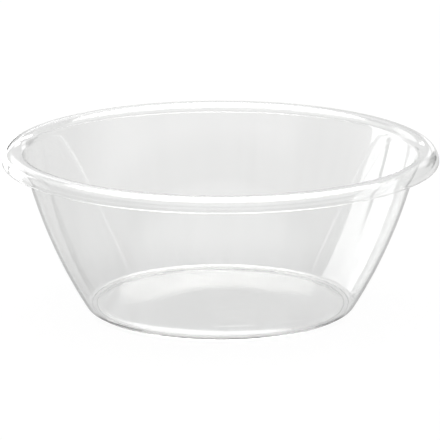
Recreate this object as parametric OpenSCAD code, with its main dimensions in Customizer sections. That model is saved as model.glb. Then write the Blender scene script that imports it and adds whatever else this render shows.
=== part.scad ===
/* [Rim] */
// Diameter over the rolled rim
rim_d = 260; // [220:1:320]
// Radius of the roll's upper surface
roll_r = 7.3; // [5:0.1:10]
// Straight fall of the lip below the roll
skirt_h = 0.4; // [0.2:0.1:4]

/* [Wall] */
// Height from the table to the crest of the roll
bowl_h = 98; // [80:1:130]
// Thickness of the wall and of the roll
wall = 1.8; // [1.2:0.1:3]
// Radius of the wall's outward bulge, seen in section
wall_r = 297; // [200:1:600]

/* [Base] */
// Outer diameter of the foot ring
foot_d = 155; // [120:1:170]
// Height of the foot ring, which is also the depth of the hollow under the floor
foot_h = 0.8; // [0.5:0.1:2.5]
// Width of the foot ring
foot_w = 3; // [2:0.1:8]
// Rounding of the foot ring's two lower edges
foot_edge_r = 0.3; // [0.1:0.05:0.45]
// Thickness of the floor
floor_t = 1.8; // [1.2:0.1:4]
// Outer radius where the floor turns up into the wall
corner_r = 4.5; // [3:0.5:14]
// Inner radius where the floor turns up into the wall
inner_corner_r = 2.5; // [1.5:0.5:12]

/* [Smoothness] */
// Greatest distance between a curve and the chords that follow it
chord_gap = 0.04; // [0.02:0.01:0.1]
// Sides of the mesh round the axis
round_sides = 90; // [48:2:160]

/* [Hidden] */
clear_plastic = [0.86, 0.88, 0.88, 0.35];

floor_top = foot_h + floor_t;
foot_ro = foot_d / 2;
foot_ri = foot_ro - foot_w;
hollow_r = roll_r - wall;
lip_r = wall / 2;

// The section is drawn as [radius, height]. Its roll, wall and outer corner are tangent arcs, so the
// wall's centre lies where two circles cross: one round the roll's centre, one round the corner's.
roll_c = [rim_d / 2 - roll_r, bowl_h - roll_r];
corner_c = [foot_ro, foot_h + corner_r];
wall_c = circles_cross(roll_c, wall_r + hollow_r, corner_c, wall_r - corner_r);

// The inner corner touches the floor and the inner face of the same wall.
inner_wall_r = wall_r - wall;
inner_c_z = floor_top + inner_corner_r;
inner_c_reach = inner_wall_r - inner_corner_r;
inner_c = [wall_c.x + sqrt(inner_c_reach ^ 2 - (inner_c_z - wall_c.y) ^ 2), inner_c_z];

// Directions, seen from the wall's centre, in which the arcs meet
roll_turn = heading(roll_c - wall_c);
corner_turn = heading(corner_c - wall_c);
inner_turn = heading(inner_c - wall_c);

// The lip's end is a half round under the skirt.
lip_c = [rim_d / 2 - lip_r, roll_c.y - skirt_h];

function heading(v) = atan2(v.y, v.x);

// Crossing of two circles that lies to the right of the way from the first centre to the second
function circles_cross(a, ra, b, rb) =
    let (gap = norm(b - a))
    let (along = (ra ^ 2 - rb ^ 2 + gap ^ 2) / (2 * gap))
    let (aside = sqrt(ra ^ 2 - along ^ 2))
    let (u = (b - a) / gap)
    a + along * u + aside * [u.y, -u.x];

// Points along an arc, close enough together to stay within chord_gap of it
function arc(c, r, from, to) =
    let (step = 2 * acos(1 - chord_gap / r))
    let (n = max(3, ceil(abs(to - from) / step)))
    [for (i = [0 : n]) c + r * [cos(from + (to - from) * i / n), sin(from + (to - from) * i / n)]];

// Two runs of points joined where the first ends and the second starts
function chain(a, b) = concat(a, [for (i = [1 : len(b) - 1]) b[i]]);

// Underside of the floor and the foot ring, from the axis outwards
function foot_line() = concat(
    [[0, foot_h], [foot_ri, foot_h]],
    arc([foot_ri + foot_edge_r, foot_edge_r], foot_edge_r, 180, 270),
    arc([foot_ro - foot_edge_r, foot_edge_r], foot_edge_r, -90, 0)
);

// Outer face, up from the foot, round inside the roll and down to the lip
function outer_line() =
    let (corner = arc(corner_c, corner_r, -90, corner_turn))
    let (side = arc(wall_c, wall_r, corner_turn, roll_turn))
    let (hollow = arc(roll_c, hollow_r, roll_turn + 180, 0))
    chain(chain(corner, side), hollow);

// Inner face, up from the lip, over the crest of the roll and down to the floor
function inner_line() =
    let (roll = arc(roll_c, roll_r, 0, roll_turn + 180))
    let (side = arc(wall_c, inner_wall_r, roll_turn, inner_turn))
    let (corner = arc(inner_c, inner_corner_r, inner_turn, -90))
    concat(chain(chain(roll, side), corner), [[0, floor_top]]);

// Half of the bowl cut down its axis
module section() {
    polygon(concat(foot_line(), outer_line(), arc(lip_c, lip_r, -180, 0), inner_line()));
}

module bowl() {
    color(clear_plastic)
        rotate_extrude($fn = round_sides)
            section();
}

bowl();
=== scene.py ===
"""A clear moulded mixing bowl on a plain white studio table."""

import logging
import math
from dataclasses import dataclass
from enum import Enum
from typing import Any, Optional, Union

import bpy
import numpy as np
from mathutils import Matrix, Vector


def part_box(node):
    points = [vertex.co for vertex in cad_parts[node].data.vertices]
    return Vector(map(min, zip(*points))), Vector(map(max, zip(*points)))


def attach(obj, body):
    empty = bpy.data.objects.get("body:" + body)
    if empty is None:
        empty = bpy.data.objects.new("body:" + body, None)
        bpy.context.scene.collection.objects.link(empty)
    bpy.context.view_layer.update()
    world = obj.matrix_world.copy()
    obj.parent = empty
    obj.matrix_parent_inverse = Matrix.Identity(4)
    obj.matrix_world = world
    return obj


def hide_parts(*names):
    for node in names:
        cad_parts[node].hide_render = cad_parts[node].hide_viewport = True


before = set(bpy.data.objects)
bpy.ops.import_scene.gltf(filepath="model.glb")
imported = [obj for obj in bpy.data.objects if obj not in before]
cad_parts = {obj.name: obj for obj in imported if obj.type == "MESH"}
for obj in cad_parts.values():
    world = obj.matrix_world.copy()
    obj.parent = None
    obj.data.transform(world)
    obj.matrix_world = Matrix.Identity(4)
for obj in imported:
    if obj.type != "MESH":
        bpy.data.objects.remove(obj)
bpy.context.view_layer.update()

LOG = logging.getLogger("bowl")
MM = 0.001

# Points closer than this, in metres, are one point.
SAME_POINT = 1e-7

# Longest paths of light through clear plastic and between matt surfaces
CLEAR_BOUNCES = 96
MATT_BOUNCES = 3

Colour = tuple[float, float, float]
Point = tuple[float, float, float]
SectionPoint = tuple[float, float]
Stops = tuple[tuple[float, float], ...]

WHITE: Colour = (1.0, 1.0, 1.0)
BLACK: Colour = (0.0, 0.0, 0.0)


class Ray(Enum):
    """The kinds of ray that a finish can tell apart; MATT counts the matt surfaces that a ray has met."""

    CAMERA = "Is Camera Ray"
    MATT = "Diffuse Depth"
    GLOSSY = "Is Glossy Ray"
    TRANSMISSION = "Is Transmission Ray"


class Socket:
    """An output of a shader node, on which arithmetic adds Math nodes."""

    def __init__(self, graph: "ShaderGraph", link: bpy.types.NodeSocket) -> None:
        """Holds the output and the graph that it belongs to."""
        self.graph = graph
        self.link = link

    def math(self, operation: str, first: "Value", second: "Value") -> "Socket":
        """Adds one Math node and returns its result."""
        return self.graph.node("ShaderNodeMath", {"operation": operation}, {0: first, 1: second})

    def __add__(self, other: "Value") -> "Socket":
        """Returns self + other."""
        return self.math("ADD", self, other)

    def __radd__(self, other: "Value") -> "Socket":
        """Returns other + self."""
        return self.math("ADD", other, self)

    def __sub__(self, other: "Value") -> "Socket":
        """Returns self - other."""
        return self.math("SUBTRACT", self, other)

    def __rsub__(self, other: "Value") -> "Socket":
        """Returns other - self."""
        return self.math("SUBTRACT", other, self)

    def __mul__(self, other: "Value") -> "Socket":
        """Returns self * other."""
        return self.math("MULTIPLY", self, other)

    def __rmul__(self, other: "Value") -> "Socket":
        """Returns other * self."""
        return self.math("MULTIPLY", other, self)

    def __truediv__(self, other: "Value") -> "Socket":
        """Returns self / other, or 0 where other is 0."""
        return self.math("DIVIDE", self, other)

    def __rtruediv__(self, other: "Value") -> "Socket":
        """Returns other / self, or 0 where self is 0."""
        return self.math("DIVIDE", other, self)

    def __pow__(self, other: "Value") -> "Socket":
        """Returns self raised to other."""
        return self.math("POWER", self, other)

    def __rpow__(self, other: "Value") -> "Socket":
        """Returns other raised to self."""
        return self.math("POWER", other, self)

    def top(self, other: "Value") -> "Socket":
        """Returns the larger of self and other."""
        return self.math("MAXIMUM", self, other)


Value = Union[Socket, float, tuple]


class ShaderGraph:
    """The node tree of a material or a world, cleared and ready to be written."""

    def __init__(self, owner: Union[bpy.types.Material, bpy.types.World]) -> None:
        """Clears the owner's tree."""
        owner.use_nodes = True
        self.tree = owner.node_tree
        self.tree.nodes.clear()

    def node(
        self,
        kind: str,
        settings: Optional[dict[str, Any]] = None,
        sockets: Optional[dict[Union[str, int], Value]] = None,
        output: Union[str, int] = 0,
    ) -> Optional[Socket]:
        """Adds a node of any type.

        Args:
            kind: The node's type, such as ShaderNodeBump.
            settings: Properties set before the sockets; "stops" holds a ramp's (place, grey) pairs.
            sockets: A value or a Socket for each input named or numbered.
            output: The output to return.

        Returns:
            That output, or None on a node that has none.
        """
        node = self.tree.nodes.new(kind)
        for name, value in (settings or {}).items():
            if name == "stops":
                self._set_stops(node.color_ramp.elements, value)
            else:
                setattr(node, name, value)
        for name, value in (sockets or {}).items():
            if isinstance(value, Socket):
                self.tree.links.new(value.link, node.inputs[name])
            else:
                node.inputs[name].default_value = value
        return Socket(self, node.outputs[output]) if node.outputs else None

    @staticmethod
    def _set_stops(elements: Any, stops: Stops) -> None:
        """Gives a colour ramp its grey stops.

        Args:
            elements: The ramp's own list of stops.
            stops: Pairs of place and grey, in rising order of place.
        """
        while len(elements) < len(stops):
            elements.new(1.0)
        for element, (place, grey) in zip(elements, stops):
            element.position = place
            element.color = (grey, grey, grey, 1.0)

    def ramp(self, factor: Socket, stops: Stops) -> Socket:
        """Returns a factor bent through a grey ramp."""
        return self.node("ShaderNodeValToRGB", {"stops": stops}, {"Fac": factor})

    def noise(self, vector: Socket, scale: float, detail: float, roughness: float = 0.5) -> Socket:
        """Returns a noise of about 0 to 1 along a vector."""
        return self.node(
            "ShaderNodeTexNoise",
            {"noise_dimensions": "3D"},
            {"Vector": vector, "Scale": scale, "Detail": detail, "Roughness": roughness},
        )

    def fade(self, value: Socket, start: float, end: float) -> Socket:
        """Returns a smooth step from 0 at start to 1 at end."""
        smooth = {"interpolation_type": "SMOOTHSTEP"}
        return self.node("ShaderNodeMapRange", smooth, {0: value, 1: start, 2: end})

    def blend(self, factor: Value, first: Value, second: Value) -> Socket:
        """Returns a colour between first, at factor 0, and second, at factor 1."""
        sockets = {0: factor, 6: first, 7: second}
        return self.node("ShaderNodeMix", {"data_type": "RGBA"}, sockets, output=2)

    def emission(self, colour: Value) -> Socket:
        """Returns a glow of this colour, at a strength of 1."""
        return self.node("ShaderNodeEmission", sockets={"Color": colour, "Strength": 1.0})

    def ray(self, kind: Ray) -> Socket:
        """Returns 1 on rays of that kind and 0 on others, or for MATT the count."""
        return self.node("ShaderNodeLightPath", output=kind.value)

    def position(self) -> tuple[Socket, Socket, Socket, Socket]:
        """Reads the place on the object.

        Returns:
            The point in Object coordinates, and its x, y and z.
        """
        here = self.node("ShaderNodeTexCoord", output="Object")
        x, y, z = (self.node("ShaderNodeSeparateXYZ", sockets={0: here}, output=axis) for axis in "XYZ")
        return here, x, y, z

    def finish(self, surface: Socket, volume: Optional[Socket] = None) -> None:
        """Ends a material with this shader, and with what fills it."""
        ends = {"Surface": surface} if volume is None else {"Surface": surface, "Volume": volume}
        self.node("ShaderNodeOutputMaterial", sockets=ends)


def rgba(colour: Colour) -> tuple[float, float, float, float]:
    """A colour with full alpha, as sockets take it."""
    return (*colour, 1.0)


def length(first: Socket, second: Socket) -> Socket:
    """Length of a flat vector, the root of the sum of its two squares."""
    return (first * first + second * second) ** 0.5


def toward(x: Socket, y: Socket, azimuth: float) -> Socket:
    """Works out how nearly a point lies at an azimuth.

    The cosine of the angle between them is (x sin a - y cos a) / distance from the axis. An azimuth of 0 is
    in front of the bowl and one of 90 to its right.

    Args:
        x: Place to the right.
        y: Place to the back.
        azimuth: Azimuth in degrees.

    Returns:
        That cosine, 1 at the azimuth and -1 opposite.
    """
    a = math.radians(azimuth)
    return (x * math.sin(a) - y * math.cos(a)) / length(x, y)


def glow_material(name: str) -> tuple[bpy.types.Material, ShaderGraph]:
    """Starts a glowing material, whose light is found by the rays that meet it and not sampled as a lamp's.

    Args:
        name: Its name.

    Returns:
        The material and its empty graph.
    """
    material = bpy.data.materials.new(name)
    material.cycles.emission_sampling = "NONE"
    return material, ShaderGraph(material)


def arc(centre: np.ndarray, radius: float, start: float, end: float, steps: int) -> np.ndarray:
    """Points along an arc, both ends included.

    A point is the centre plus radius times (cos a, sin a), with a running evenly from start to end.

    Args:
        centre: Centre as (radius from the axis, height).
        radius: Radius of the arc.
        start: First angle in radians.
        end: Last angle in radians.
        steps: Number of chords.

    Returns:
        An array of steps + 1 points.
    """
    a = np.linspace(start, end, steps + 1)
    return centre + radius * np.stack([np.cos(a), np.sin(a)], axis=-1)


def line(start: SectionPoint, end: SectionPoint, steps: int) -> np.ndarray:
    """Points spaced evenly from start to end, both included."""
    return np.linspace(start, end, steps + 1)


def heading(v: np.ndarray) -> float:
    """Angle of a vector in radians, from the first axis towards the second."""
    return math.atan2(v[1], v[0])


def joined(*runs: np.ndarray) -> np.ndarray:
    """Puts runs of points in one row.

    Args:
        runs: Arrays of points, each starting where the last one ends or further on.

    Returns:
        All points in order, without those that repeat where two runs meet.
    """
    row = np.concatenate(runs)
    apart = np.linalg.norm(np.diff(row, axis=0), axis=1) > SAME_POINT
    return row[np.concatenate([[True], apart])]


def revolve(name: str, outline: np.ndarray, sides: int) -> bpy.types.Object:
    """Turns an outline round the Z axis into a smooth mesh object.

    Grid point (i, j) is (r_i cos a_j, r_i sin a_j, z_i), with a_j the j-th of `sides` equal parts of a turn.
    An end of the outline that lies on the axis becomes one pole, closed by a fan of triangles. Faces point
    to the right of the way along the outline, seen with r to the right and z up.

    Args:
        name: Name of the object.
        outline: Points as (r, z).
        sides: Number of parts of the turn.

    Returns:
        The linked object, at the origin.
    """
    starts, ends = outline[0, 0] == 0.0, outline[-1, 0] == 0.0
    rings = outline[int(starts) : len(outline) - int(ends)]
    turn = np.arange(sides) * (2 * np.pi / sides)
    grid = np.stack(
        [
            np.outer(rings[:, 0], np.cos(turn)),
            np.outer(rings[:, 0], np.sin(turn)),
            np.repeat(rings[:, 1:], sides, axis=1),
        ],
        axis=-1,
    ).reshape(-1, 3)
    this = np.arange(sides)
    after = np.roll(this, -1)
    row = np.arange(len(rings) - 1)[:, None] * sides
    quads = np.stack([row + this, row + after, row + sides + after, row + sides + this], axis=-1)
    faces = quads.reshape(-1, 4).tolist()
    points = [grid]
    if starts:
        pole = np.full(sides, len(grid))
        faces += np.stack([pole, after, this], axis=-1).tolist()
        points.append([[0.0, 0.0, outline[0, 1]]])
    if ends:
        pole = np.full(sides, len(grid) + int(starts))
        last = (len(rings) - 1) * sides
        faces += np.stack([pole, last + this, last + after], axis=-1).tolist()
        points.append([[0.0, 0.0, outline[-1, 1]]])
    return mesh_object(name, np.concatenate(points), faces)


def mesh_object(name: str, points: np.ndarray, faces: list[list[int]]) -> bpy.types.Object:
    """Links a smooth mesh object at the origin.

    Args:
        name: Name of the object and of its mesh.
        points: Vertices in metres.
        faces: Vertex numbers of each face.

    Returns:
        The object.
    """
    mesh = bpy.data.meshes.new(name)
    mesh.from_pydata(points.tolist(), [], faces)
    mesh.polygons.foreach_set("use_smooth", np.ones(len(faces), dtype=bool))
    mesh.update()
    thing = bpy.data.objects.new(name, mesh)
    bpy.context.scene.collection.objects.link(thing)
    return thing


def sheet_object(name: str, grid: np.ndarray, material: bpy.types.Material) -> bpy.types.Object:
    """Links a sheet of quads over a grid of points.

    Args:
        name: Name of the object.
        grid: Points as rows, columns and (x, y, z).
        material: Its finish.

    Returns:
        The object.
    """
    index = np.arange(grid[..., 0].size).reshape(grid.shape[:2])
    corners = [index[:-1, :-1], index[:-1, 1:], index[1:, 1:], index[1:, :-1]]
    faces = np.stack(corners, axis=-1).reshape(-1, 4)
    sheet = mesh_object(name, grid.reshape(-1, 3), faces.tolist())
    sheet.data.materials.append(material)
    return sheet


@dataclass(frozen=True)
class BowlSection:
    """Half of the bowl cut down its axis, in metres, as tangent arcs and short straight runs."""

    rim_r: float
    height: float
    roll_r: float = 7.3 * MM
    skirt_h: float = 0.4 * MM
    wall: float = 1.8 * MM
    wall_r: float = 297.0 * MM
    foot_r: float = 77.5 * MM
    foot_h: float = 0.8 * MM
    foot_w: float = 3.0 * MM
    foot_edge_r: float = 0.3 * MM
    foot_fillet_r: float = 0.25 * MM
    floor_t: float = 1.8 * MM
    corner_r: float = 4.5 * MM
    inner_corner_r: float = 2.5 * MM
    worn_h: float = 20.0 * MM
    # Chords along each run
    floor_steps: int = 14
    fillet_steps: int = 5
    edge_steps: int = 6
    corner_steps: int = 20
    inner_corner_steps: int = 22
    wall_steps: int = 40
    hollow_steps: int = 42
    lip_steps: int = 22
    roll_steps: int = 44

    @property
    def floor_top(self) -> float:
        """Height of the floor inside."""
        return self.foot_h + self.floor_t

    @property
    def worn_height(self) -> float:
        """Height up to which whisks and tables mark the plastic."""
        return self.floor_top + self.worn_h

    @property
    def contour_low(self) -> float:
        """Height of the roll's middle, up to which contours are darkest."""
        return self.height - self.roll_r

    @property
    def contour_top(self) -> float:
        """Height close under the rim's crest, over which contours stay light."""
        return self.height - self.roll_r / 3

    @property
    def hollow_r(self) -> float:
        """Radius of the hollow inside the roll."""
        return self.roll_r - self.wall

    @property
    def roll_centre(self) -> np.ndarray:
        """Centre of the rim's roll."""
        return np.array([self.rim_r - self.roll_r, self.height - self.roll_r])

    @property
    def corner_centre(self) -> np.ndarray:
        """Centre of the outer corner's arc, over the foot's outer edge."""
        return np.array([self.foot_r, self.foot_h + self.corner_r])

    @property
    def wall_centre(self) -> np.ndarray:
        """Centre of the wall's bulge.

        The wall touches the hollow of the roll from outside and the outer corner from inside, so its centre
        is where a circle of wall_r + hollow_r round the roll's centre crosses one of wall_r - corner_r round
        the corner's. Of the two crossings it is the one over the inside of the bowl.

        Returns:
            The centre as (radius from the axis, height).
        """
        near, far = self.wall_r + self.hollow_r, self.wall_r - self.corner_r
        way = self.corner_centre - self.roll_centre
        gap = np.linalg.norm(way)
        along = (near**2 - far**2 + gap**2) / (2 * gap)
        aside = math.sqrt(near**2 - along**2)
        unit = way / gap
        return self.roll_centre + along * unit + aside * np.array([unit[1], -unit[0]])

    @property
    def inner_corner_centre(self) -> np.ndarray:
        """Centre of the inner corner's arc, which touches the floor and the wall's inner face.

        Returns:
            The centre as (radius from the axis, height).
        """
        z = self.floor_top + self.inner_corner_r
        reach = self.wall_r - self.wall - self.inner_corner_r
        centre = self.wall_centre
        return np.array([centre[0] + math.sqrt(reach**2 - (z - centre[1]) ** 2), z])

    def foot_line(self) -> np.ndarray:
        """Draws the underside, a straight run and the foot ring's rounded edges and inner corner.

        Returns:
            Points from the axis to the foot ring's outer edge.
        """
        edge, fillet = self.foot_edge_r, self.foot_fillet_r
        inside = self.foot_r - self.foot_w
        quarter = math.pi / 2
        fillet_c = np.array([inside - fillet, self.foot_h - fillet])
        return joined(
            line((0.0, self.foot_h), (inside - fillet, self.foot_h), self.floor_steps),
            arc(fillet_c, fillet, quarter, 0.0, self.fillet_steps),
            arc(np.array([inside + edge, edge]), edge, 2 * quarter, 3 * quarter, self.edge_steps),
            arc(np.array([self.foot_r - edge, edge]), edge, -quarter, 0.0, self.edge_steps),
        )

    def outer_line(self) -> np.ndarray:
        """Draws the outer face as arcs: fillet, corner, wall, the hollow of the roll and the lip's end.

        Returns:
            Points from the foot's outer edge to the outside of the lip.
        """
        wall_c, roll_c, corner_c = self.wall_centre, self.roll_centre, self.corner_centre
        fillet = self.foot_fillet_r
        drop = math.sqrt((self.corner_r + fillet) ** 2 - fillet**2)
        fillet_c = corner_c + np.array([fillet, -drop])
        low, high = heading(corner_c - wall_c), heading(roll_c - wall_c)
        lip_c = np.array([self.rim_r - self.wall / 2, roll_c[1] - self.skirt_h])
        return joined(
            arc(fillet_c, fillet, math.pi, heading(corner_c - fillet_c), self.fillet_steps),
            arc(corner_c, self.corner_r, heading(fillet_c - corner_c), low, self.corner_steps),
            arc(wall_c, self.wall_r, low, high, self.wall_steps),
            arc(roll_c, self.hollow_r, high + math.pi, 0.0, self.hollow_steps),
            arc(lip_c, self.wall / 2, -math.pi, 0.0, self.lip_steps),
        )

    def inner_line(self) -> np.ndarray:
        """Draws the upper face as arcs over the roll, down the wall and round the corner, and the floor.

        Returns:
            Points from the outside of the lip to the axis.
        """
        wall_c, roll_c, corner_c = self.wall_centre, self.roll_centre, self.inner_corner_centre
        low, high = heading(corner_c - wall_c), heading(roll_c - wall_c)
        return joined(
            arc(roll_c, self.roll_r, 0.0, high + math.pi, self.roll_steps),
            arc(wall_c, self.wall_r - self.wall, high, low, self.wall_steps),
            arc(corner_c, self.inner_corner_r, low, -math.pi / 2, self.inner_corner_steps),
            line((corner_c[0], self.floor_top), (0.0, self.floor_top), self.floor_steps),
        )

    def outline(self) -> np.ndarray:
        """The whole section, from the axis under the floor round to the axis on top of it."""
        return joined(self.foot_line(), self.outer_line(), self.inner_line())


@dataclass(frozen=True)
class ClearPlastic:
    """Clear moulded plastic: almost colourless, glossy, with moulding waves, flow streaks, fine wear and a
    painted shade on its contour.
    """

    tint: Colour = (0.980, 0.981, 0.980)
    depth_colour: Colour = (0.07, 0.09, 0.085)
    depth_density: float = 16.0
    ior: float = 1.53
    gloss: float = 0.012
    # Flow streaks
    streak_tint: Colour = (0.962, 0.964, 0.963)
    streak_scale: float = 9.0
    streak_detail: float = 3.0
    streak_roughness: float = 0.6
    streak_bend: float = 3.0
    streak_stops: Stops = ((0.45, 0.0), (0.75, 1.0))
    # Moulding waves
    wave_scale: float = 22.0
    wave_detail: float = 1.0
    wave_height: float = 0.006 * MM
    # Wear, as roughness and as scratches
    worn: float = 0.10
    worn_detail: float = 2.0
    worn_stops: Stops = ((0.0, 1.0), (0.6, 0.6), (1.0, 0.0))
    scratch_pitch: float = 0.9 * MM
    scratch_height: float = 0.003 * MM
    scratch_stops: Stops = ((0.62, 0.0), (0.72, 1.0))
    patch_scale: float = 28.0
    patch_stops: Stops = ((0.48, 0.0), (0.62, 1.0))
    # Painted shade on the contour of the outer face; edge_blur is a share of the wall
    painted_edge_shade: Colour = (0.12, 0.125, 0.125)
    edge_blend: float = 0.5
    edge_start: float = 0.815
    edge_end: float = 0.865
    edge_blur: float = 0.2

    def streaks(self, g: ShaderGraph, x: Socket, y: Socket, radius: Socket) -> Socket:
        """Makes flow streaks.

        They run out from the centre, because their noise reads the direction from the axis and changes only
        slowly with the radius.

        Args:
            g: Graph to add to.
            x: Place to the right.
            y: Place to the back.
            radius: Distance from the axis.

        Returns:
            1 on a streak and 0 beside it.
        """
        sockets = {0: x / radius, 1: y / radius, 2: radius * self.streak_bend}
        spoke = g.node("ShaderNodeCombineXYZ", sockets=sockets)
        noise = g.noise(spoke, self.streak_scale, self.streak_detail, self.streak_roughness)
        return g.ramp(noise, self.streak_stops)

    def wear(self, g: ShaderGraph, here: Socket, radius: Socket, z: Socket, top: float) -> Socket:
        """Makes fine scratches.

        They are rings, because their noise reads only radius and height. They come in patches on the floor
        inside, where a whisk turns, and under the foot.

        Args:
            g: Graph to add to.
            here: Place on the bowl.
            radius: Distance from the axis.
            z: Height.
            top: Height up to which the plastic is worn.

        Returns:
            1 on a scratch and 0 beside it.
        """
        ring = g.node("ShaderNodeCombineXYZ", sockets={0: radius, 1: z, 2: 0.0})
        scratches = g.ramp(g.noise(ring, 1.0 / self.scratch_pitch, self.worn_detail), self.scratch_stops)
        patches = g.ramp(g.noise(here, self.patch_scale, self.worn_detail), self.patch_stops)
        return scratches * patches * g.ramp(z / top, self.worn_stops)

    def painted_contour_shade(self, g: ShaderGraph, radius: Socket, z: Socket, shape: BowlSection) -> Socket:
        """Finds the thin contour where the outer face turns away, up to the rim's crest, which gets a painted
        shade.

        The outer face is told from the inner one by its distance from the centre of the wall's bulge.

        Args:
            g: Graph to add to.
            radius: Distance from the axis.
            z: Height.
            shape: Section that says where the wall and the rim lie.

        Returns:
            1 on the contour and 0 elsewhere.
        """
        turned = g.node("ShaderNodeLayerWeight", sockets={"Blend": self.edge_blend}, output="Facing")
        bulge = length(radius - shape.wall_centre[0], z - shape.wall_centre[1])
        middle, soft = shape.wall_r - shape.wall / 2, shape.wall * self.edge_blur / 2
        outside = g.fade(bulge, middle - soft, middle + soft)
        edge = outside * g.fade(turned, self.edge_start, self.edge_end)
        return edge * g.fade(z, shape.contour_top, shape.contour_low)

    def material(self, shape: BowlSection) -> bpy.types.Material:
        """Writes the plastic for a bowl of this section.

        The plastic darkens with depth, so its edges are greyer than its faces, and a painted shade makes its
        contour darker still.

        Args:
            shape: Section that says where the floor, the wall and the rim lie.

        Returns:
            The material.
        """
        material = bpy.data.materials.new("clear_plastic")
        g = ShaderGraph(material)
        here, x, y, z = g.position()
        radius = length(x, y)
        tint = g.blend(self.streaks(g, x, y, radius), rgba(self.tint), rgba(self.streak_tint))
        # Painted shade: the colour goes dark on the contour, where the outer face turns away from the eye.
        tint = g.blend(self.painted_contour_shade(g, radius, z, shape), tint, rgba(self.painted_edge_shade))
        wear = self.wear(g, here, radius, z, shape.worn_height)
        waves = g.noise(here, self.wave_scale, self.wave_detail)
        height = waves * self.wave_height + wear * self.scratch_height
        bump = g.node("ShaderNodeBump", sockets={"Strength": 1.0, "Distance": 1.0, "Height": height})
        plastic = g.node(
            "ShaderNodeBsdfPrincipled",
            sockets={
                "Base Color": tint,
                "Roughness": self.gloss + wear * self.worn,
                "IOR": self.ior,
                "Transmission Weight": 1.0,
                "Normal": bump,
            },
        )
        depth = g.node(
            "ShaderNodeVolumeAbsorption",
            sockets={"Color": rgba(self.depth_colour), "Density": self.depth_density},
        )
        g.finish(plastic, depth)
        return material


@dataclass(frozen=True)
class Bowl:
    """The one moulded piece."""

    section: BowlSection
    finish: ClearPlastic = ClearPlastic()
    sides: int = 320

    def build(self) -> bpy.types.Object:
        """Revolves the section, dresses it and ties it to the frame.

        Returns:
            The bowl's object.
        """
        bowl = revolve("clear_bowl", self.section.outline(), self.sides)
        bowl.data.materials.append(self.finish.material(self.section))
        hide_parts("bowl")
        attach(bowl, "root")
        return bowl


@dataclass(frozen=True)
class TableWhite:
    """White table top: a matt coat that takes light and shadow, lifted towards white where it is seen."""

    coat: Colour = (0.76, 0.76, 0.76)
    speckle: float = 0.04
    speckle_scale: float = 900.0
    speckle_detail: float = 2.0
    seen_glow: float = 1.04
    seen_lift: float = 0.92
    mirrored_glow: float = 0.85
    mirrored_lift: float = 0.68
    # Painted contact shadow round the foot: a thin ring where the coat is darker and the glow is not lifted
    painted_shadow_coat: Colour = (0.18, 0.18, 0.18)
    contact_r: float = 80.3 * MM
    contact_width: float = 4.2 * MM
    contact_left: float = -45.0 * MM
    contact_right: float = 56.5 * MM
    contact_side_blur: float = 10.0 * MM
    contact_front: float = -29.0 * MM
    contact_front_blur: float = 20.0 * MM

    def painted_shadow_ring(self, g: ShaderGraph, x: Socket, y: Socket) -> Socket:
        """Finds the painted contact shadow.

        It is a thin ring round the foot, where the distance from the axis is close to contact_r. It shows in
        front of contact_front, to the left of contact_left and to the right of contact_right.

        Args:
            g: Graph to add to.
            x: Place to the right.
            y: Place to the back.

        Returns:
            1 in the middle of the shadow and 0 outside.
        """
        off_ring = length(x, y) - self.contact_r
        ring = g.fade((off_ring * off_ring) ** 0.5, self.contact_width, 0.0)
        soft = self.contact_side_blur / 2
        left = g.fade(x, self.contact_left + soft, self.contact_left - soft)
        right = g.fade(x, self.contact_right - soft, self.contact_right + soft)
        soft = self.contact_front_blur / 2
        front = g.fade(y, self.contact_front + soft, self.contact_front - soft)
        return ring * (left + right) * front

    def material(self) -> bpy.types.Material:
        """Writes the table's material, with a faint speckle in its coat and, in the contact shadow, a painted
        darker coat and no lift.

        Returns:
            The material.
        """
        material = bpy.data.materials.new("table_white")
        g = ShaderGraph(material)
        here, x, y, _ = g.position()
        painted_shadow_ring = self.painted_shadow_ring(g, x, y)
        speckle = g.noise(here, self.speckle_scale, self.speckle_detail) * self.speckle
        coat = g.blend(speckle, rgba(self.coat), rgba(WHITE))
        # Painted shadow: the coat darkens in the ring round the foot.
        coat = g.blend(painted_shadow_ring, coat, rgba(self.painted_shadow_coat))
        matt = g.node("ShaderNodeBsdfDiffuse", sockets={"Color": coat})
        seen, mirrored = g.ray(Ray.CAMERA), g.ray(Ray.GLOSSY).top(g.ray(Ray.TRANSMISSION))
        glow = g.emission(seen * self.seen_glow + (1.0 - seen) * self.mirrored_glow)
        lift = (seen * self.seen_lift).top(mirrored * self.mirrored_lift * (1.0 - painted_shadow_ring))
        g.finish(g.node("ShaderNodeMixShader", sockets={0: lift, 1: matt, 2: glow}))
        return material


@dataclass(frozen=True)
class WallShade:
    """A stretch of the studio's walls that is brighter or darker than the rest, in degrees.

    An azimuth of 0 is in front of the bowl and 90 to its right.
    """

    azimuth: float
    half_width: float
    low: float
    high: float
    glow: float
    blur: float

    def mask(self, g: ShaderGraph, x: Socket, y: Socket, lift: Socket) -> Socket:
        """Works out where the stretch lies.

        Args:
            g: Graph to add to.
            x: Place to the right.
            y: Place to the back.
            lift: Height over the radius, which is the sine of the elevation.

        Returns:
            1 inside and 0 outside, with soft edges.
        """
        half, soft = math.radians(self.half_width), math.radians(self.blur) / 2
        low, high = math.radians(self.low), math.radians(self.high)
        facing = toward(x, y, self.azimuth)
        across = g.fade(facing, math.cos(half + soft), math.cos(max(half - soft, 0.0)))
        over = g.fade(lift, math.sin(low - soft), math.sin(low + soft))
        under = g.fade(lift, math.sin(high + soft), math.sin(high - soft))
        return across * over * under


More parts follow.
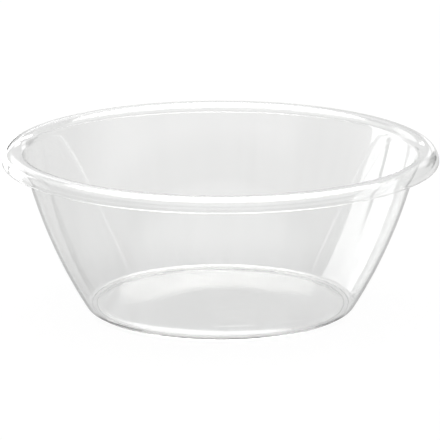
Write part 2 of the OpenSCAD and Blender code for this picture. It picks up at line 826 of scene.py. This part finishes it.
@dataclass(frozen=True)
class DomeGlow:
    """Light of the studio as gloss and clear plastic show it: pale walls and a round overhead light."""

    peak: float = 3.0
    # Sine of the elevation, and glow as a share of the peak
    stops: Stops = (
        (0.0, 0.50),
        (0.30, 0.50),
        (0.39, 0.34),
        (0.485, 0.30),
        (0.574, 0.56),
        (0.707, 0.66),
        (0.85, 0.76),
        (1.0, 0.72),
    )
    shades: tuple[WallShade, ...] = (
        # Broad stretches at the back, at the right and at the left
        WallShade(172.0, 44.0, -20.0, 50.0, 0.82, 16.0),
        WallShade(172.0, 44.0, 23.0, 50.0, 0.98, 12.0),
        WallShade(126.0, 40.0, -30.0, 24.0, 0.65, 40.0),
        WallShade(284.0, 24.0, 8.0, 32.0, 0.85, 24.0),
        WallShade(206.0, 12.0, 17.0, 34.0, 2.00, 8.0),
        # Small bright and dark patches at the back, which the ends of the rim show
        WallShade(166.0, 4.0, 2.0, 11.0, 1.35, 3.0),
        WallShade(152.0, 5.0, -4.0, 17.0, 0.12, 3.0),
        WallShade(194.0, 4.0, -4.0, 6.0, 0.10, 3.0),
        WallShade(166.0, 3.5, 13.0, 18.0, 1.35, 3.0),
        WallShade(159.5, 1.5, 8.0, 15.0, 0.30, 2.0),
        WallShade(145.0, 3.0, 12.0, 18.0, 0.10, 3.0),
        WallShade(145.0, 3.0, -3.0, 5.0, 0.12, 2.0),
        WallShade(158.0, 9.0, 20.0, 26.0, 1.30, 4.0),
    )
    # Overhead light; places and lengths are for a ceiling at a height of 1
    light_right: float = 0.02
    light_back: float = 0.43
    light_reach: float = 0.73
    light_end: float = 0.78
    light_blur: float = 0.07
    light_fall: float = 0.65
    light_colour: Colour = (8.6, 8.6, 8.35)
    matt_share: float = 0.335

    def overhead(self, g: ShaderGraph, x: Socket, y: Socket, z: Socket) -> Socket:
        """Finds the overhead light, a disc on a level ceiling that is cut off at the back.

        It lies where (x / z, y / z) is within light_reach of (light_right, light_back) and y / z is under
        light_end, and it fades to its left and right with the square of the distance.

        Args:
            g: Graph to add to.
            x: Place to the right.
            y: Place to the back.
            z: Height.

        Returns:
            1 where the light is full and 0 outside it.
        """
        right, back = x / z - self.light_right, y / z - self.light_back
        away, blur = length(right, back) / self.light_reach, self.light_blur / 2
        disc = g.fade(away, 1.0 + blur, 1.0 - blur)
        disc = disc * g.fade(y / z, self.light_end + blur, self.light_end - blur)
        aside = right / self.light_reach
        return disc - disc * aside * aside * self.light_fall

    def material(self, radius: float) -> bpy.types.Material:
        """Writes the glow over the dome.

        A ramp over the height gives the walls, soft stretches of them are brighter or darker, and the
        overhead light covers them. Matt surfaces receive only a share, which keeps them at a plain level of
        light.

        Args:
            radius: Radius of the dome.

        Returns:
            The material.
        """
        material, g = glow_material("studio_glow")
        _, x, y, z = g.position()
        lift = z / radius
        glow = g.ramp(lift, self.stops) * self.peak
        for shade in self.shades:
            glow = glow + (shade.glow - glow) * shade.mask(g, x, y, lift)
        colour = g.blend(self.overhead(g, x, y, z), glow, rgba(self.light_colour))
        share = 1.0 - g.fade(g.ray(Ray.MATT), 0.0, 1.0) * (1.0 - self.matt_share)
        g.finish(g.emission(g.blend(share, rgba(BLACK), colour)))
        return material


@dataclass(frozen=True)
class CardGlow:
    """A lit white card with a slit in it, in metres and degrees.

    The blurs are shares of the slit's half width and of the height of its top.
    """

    glow: float = 3.5
    slit_glow: float = 0.35
    slit_azimuth: float = 228.0
    slit_half_width: float = 1.8
    slit_side_blur: float = 0.3
    slit_top: float = 0.14
    slit_top_blur: float = 0.1

    def material(self) -> bpy.types.Material:
        """Writes the card's glow, which falls where the slit is.

        Returns:
            The material.
        """
        material, g = glow_material("card_glow")
        _, x, y, z = g.position()
        half, side, top = math.radians(self.slit_half_width), self.slit_side_blur, self.slit_top_blur
        facing = toward(x, y, self.slit_azimuth)
        slit = g.fade(facing, math.cos(half * (1.0 + side)), math.cos(half * (1.0 - side)))
        slit = slit * g.fade(z, self.slit_top * (1.0 + top), self.slit_top * (1.0 - top))
        g.finish(g.emission(self.glow + (self.slit_glow - self.glow) * slit))
        return material


@dataclass(frozen=True)
class StripGlow:
    """A lit white card, a little weaker towards its top."""

    glow: float = 2.6
    fall: float = 0.3

    def material(self) -> bpy.types.Material:
        """Writes the card's glow, which loses fall with every metre of height.

        Returns:
            The material.
        """
        material, g = glow_material("strip_glow")
        z = g.position()[3]
        g.finish(g.emission(self.glow - z * self.fall))
        return material


@dataclass(frozen=True)
class BackStrip:
    """A strip of card hung behind the bowl, in metres, whose image lies on the front of the bowl's floor."""

    distance: float = 1.50
    left: float = -0.182
    right: float = 0.091
    low: float = 0.4640
    sag: float = 0.0047
    sag_width: float = 0.117
    high: float = 0.517
    columns: int = 27
    rows: int = 4
    finish: StripGlow = StripGlow()

    def build(self) -> bpy.types.Object:
        """Makes the strip, which shows only in gloss and in clear plastic.

        Grid point (i, j) is (x_j, distance, low_j + t_i (high - low_j)). The lower edge is level on the right
        and sags in a straight line on the left.

        Returns:
            The strip's object.
        """
        x = np.linspace(self.left, self.right, self.columns)
        low = self.low - self.sag * np.clip(-x / self.sag_width, 0.0, 1.0)
        z = low + np.linspace(0.0, 1.0, self.rows)[:, None] * (self.high - low)
        grid = np.stack(np.broadcast_arrays(x, self.distance, z), axis=-1)
        return sheet_object("back_strip", grid, self.finish.material())


@dataclass(frozen=True)
class SideCard:
    """An upright card bent round the bowl, behind it and to its left, in metres and degrees."""

    distance: float = 0.55
    start: float = 198.0
    end: float = 246.8
    low: float = 0.02
    high: float = 0.36
    lifted: float = 0.002
    columns: int = 103
    rows: int = 5
    finish: CardGlow = CardGlow()

    def build(self) -> bpy.types.Object:
        """Makes the card, which shows only in gloss and in clear plastic.

        Grid point (i, j) is (d sin a_j, -d cos a_j, t_i h_j) at the distance d, with a running from start to
        end and t from lifted, just over the table, to 1. The height h rises evenly from low to high on the
        way.

        Returns:
            The card's object.
        """
        a = np.radians(np.linspace(self.start, self.end, self.columns))
        x, y = self.distance * np.sin(a), -self.distance * np.cos(a)
        tops = np.linspace(self.low, self.high, self.columns)
        z = np.linspace(self.lifted, 1.0, self.rows)[:, None] * tops
        grid = np.stack(np.broadcast_arrays(x, y, z), axis=-1)
        return sheet_object("side_card", grid, self.finish.material())


@dataclass(frozen=True)
class Viewpoint:
    """The camera, in metres and degrees, with its lens and sensor in millimetres."""

    elevation: float = 14.7
    distance: float = 2.051
    pivot_z: float = 0.045
    aim: Point = (-0.0003, 0.0, 0.0523)
    lens: float = 280.2
    sensor: float = 36.0

    def build(self) -> bpy.types.Object:
        """Places the camera in front of the bowl and makes it the scene's own.

        Returns:
            The camera's object.
        """
        data = bpy.data.cameras.new("camera")
        data.lens, data.sensor_width = self.lens, self.sensor
        data.dof.use_dof = False
        camera = bpy.data.objects.new("camera", data)
        up = math.radians(self.elevation)
        place = Vector((0.0, -math.cos(up), math.sin(up))) * self.distance + Vector((0.0, 0.0, self.pivot_z))
        camera.location = place
        camera.rotation_euler = (Vector(self.aim) - place).to_track_quat("-Z", "Y").to_euler()
        bpy.context.scene.collection.objects.link(camera)
        bpy.context.scene.camera = camera
        return camera


@dataclass(frozen=True)
class Studio:
    """White table, a dome of studio light and two cards near the bowl, in metres."""

    table_r: float = 4.0
    table_t: float = 0.03
    table_rings: int = 24
    table_under_rings: int = 2
    table_sides: int = 96
    table_finish: TableWhite = TableWhite()
    dome_r: float = 3.2
    dome_rings: int = 24
    dome_sides: int = 64
    dome_finish: DomeGlow = DomeGlow()
    cards: tuple[Union[SideCard, BackStrip], ...] = (SideCard(), BackStrip())

    def build_table(self) -> bpy.types.Object:
        """Makes the round table top, a closed slab whose upper face is the ground plane.

        Returns:
            The table's object.
        """
        outline = joined(
            line((0.0, -self.table_t), (self.table_r, -self.table_t), self.table_under_rings),
            line((self.table_r, 0.0), (0.0, 0.0), self.table_rings),
        )
        table = revolve("table", outline, self.table_sides)
        table.data.polygons.foreach_set("use_smooth", np.zeros(len(table.data.polygons), dtype=bool))
        table.data.materials.append(self.table_finish.material())
        return table

    def build_dome(self) -> bpy.types.Object:
        """Makes the dome, which lights the table and shows in gloss and in clear plastic.

        Returns:
            The dome's object.
        """
        outline = arc(np.zeros(2), self.dome_r, 0.0, math.pi / 2, self.dome_rings)
        # The top lies exactly on the axis, so that it becomes one pole.
        outline[-1, 0] = 0.0
        dome = revolve("studio_dome", outline, self.dome_sides)
        dome.data.materials.append(self.dome_finish.material(self.dome_r))
        dome.visible_camera = False
        return dome

    def build_cards(self) -> list[bpy.types.Object]:
        """Makes the cards, which don't shade the table.

        Returns:
            The cards' objects.
        """
        built = [card.build() for card in self.cards]
        for card in built:
            card.visible_camera = card.visible_diffuse = card.visible_shadow = False
        return built

    def build_world(self) -> None:
        """Makes the surroundings white."""
        world = bpy.data.worlds.new("studio")
        bpy.context.scene.world = world
        g = ShaderGraph(world)
        sky = g.node("ShaderNodeBackground", sockets={"Color": rgba(WHITE), "Strength": 1.0})
        g.node("ShaderNodeOutputWorld", sockets={"Surface": sky})

    def build(self) -> None:
        """Makes everything round the bowl, apart from the camera."""
        for part in (self.build_table(), self.build_dome(), *self.build_cards()):
            LOG.info("stage: %s", part.name)
        self.build_world()


def set_rendering() -> None:
    """Sets the colour view and the depth of paths through clear plastic."""
    scene = bpy.context.scene
    scene.view_settings.view_transform = "Standard"
    scene.cycles.max_bounces = CLEAR_BOUNCES
    scene.cycles.diffuse_bounces = MATT_BOUNCES
    scene.cycles.glossy_bounces = CLEAR_BOUNCES
    scene.cycles.transmission_bounces = CLEAR_BOUNCES


def main() -> None:
    """Builds the bowl, the studio and the camera, in that order."""
    logging.basicConfig(level=logging.INFO, format="%(name)s: %(message)s")
    low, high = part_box("bowl")
    section = BowlSection(rim_r=(high[0] - low[0]) / 2, height=high[2] - low[2])
    bowl = Bowl(section).build()
    LOG.info("piece: %s, %d faces", bowl.name, len(bowl.data.polygons))
    Studio().build()
    LOG.info("camera: %s", Viewpoint().build().name)
    set_rendering()


if __name__ == "__main__":
    main()
